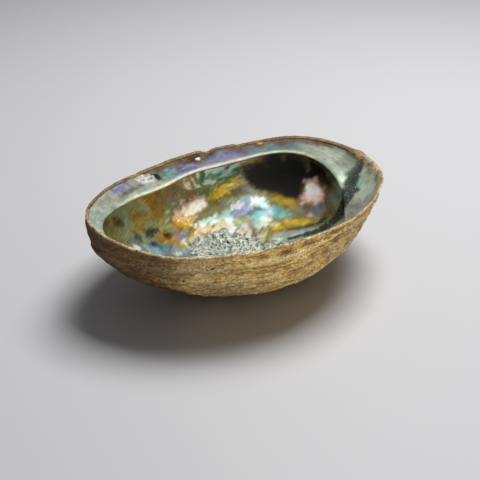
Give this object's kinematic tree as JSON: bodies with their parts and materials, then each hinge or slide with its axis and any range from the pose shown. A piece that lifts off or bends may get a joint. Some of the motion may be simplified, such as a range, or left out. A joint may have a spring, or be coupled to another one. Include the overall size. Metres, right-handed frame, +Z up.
{
  "type": "abalone shell",
  "caption": "Empty abalone shell lying on its back as an oval bowl, with a pearly inside, a tan ridged crust, a folded-in shelf and breathing pores.",
  "frame": {"origin": "under the middle of the shell's box, on the surface that it rests on", "axes": "+X along the length towards the spire end, +Y towards the shelf side, +Z up out of the open side"},
  "size_m": [0.152, 0.1103, 0.0457],
  "materials": {
    "shell": "matt tan crust outside, polished mother of pearl inside"
  },
  "bodies": {
    "root": {"abalone_shell": "shell"}
  },
  "joints": []
}
